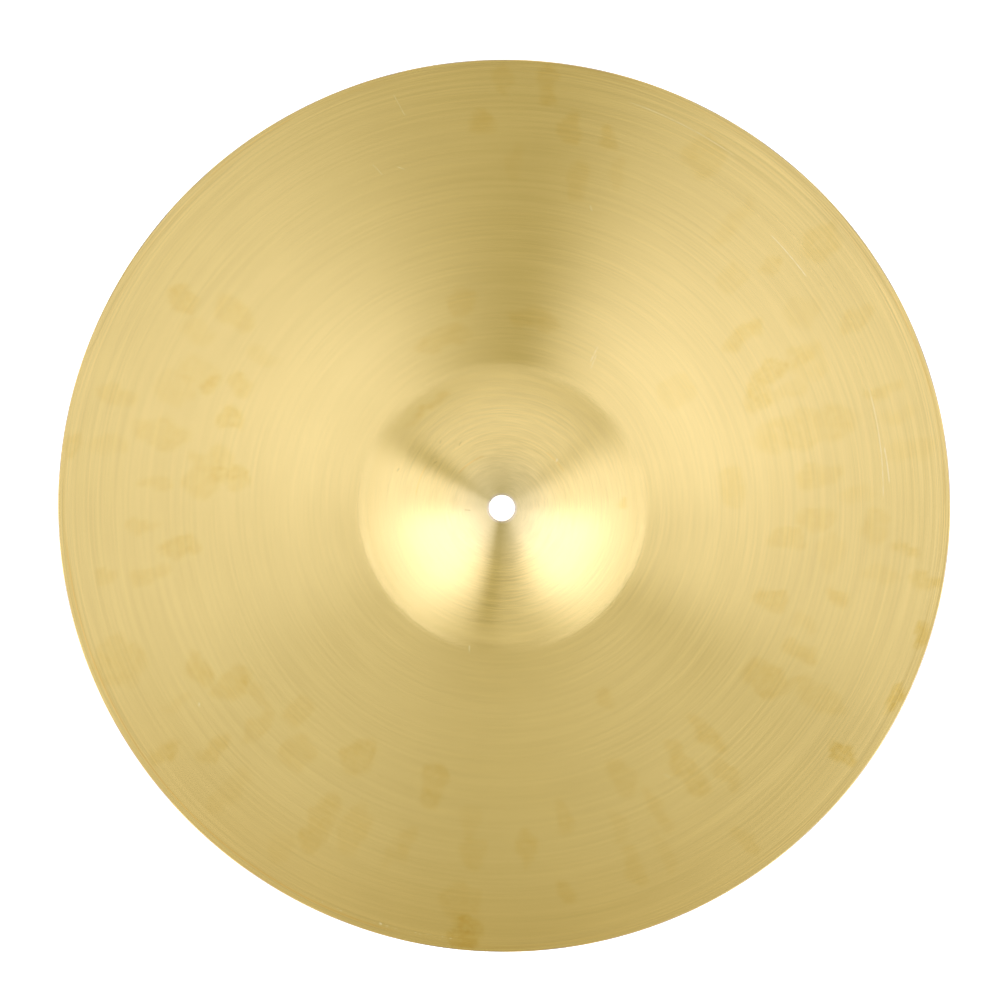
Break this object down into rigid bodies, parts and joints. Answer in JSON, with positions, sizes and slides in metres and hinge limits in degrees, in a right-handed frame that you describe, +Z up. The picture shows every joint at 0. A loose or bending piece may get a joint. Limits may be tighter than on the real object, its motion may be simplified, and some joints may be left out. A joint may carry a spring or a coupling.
{
  "type": "crash cymbal",
  "caption": "Thin round brass crash cymbal with a domed bell, a gently curved bow, a plain rim and a centre hole for the post of a cymbal stand.",
  "frame": {"origin": "on the cymbal's axis, in the plane that the rim rests on", "axes": "+Z up the axis, out through the centre hole on the bell's side; the piece is round, so X and Y are free"},
  "size_m": [0.4064, 0.4064, 0.0433],
  "materials": {
    "cymbal": "satin, with fine concentric lathe lines and light handling marks"
  },
  "bodies": {
    "root": {"cymbal": "cymbal"}
  },
  "joints": []
}
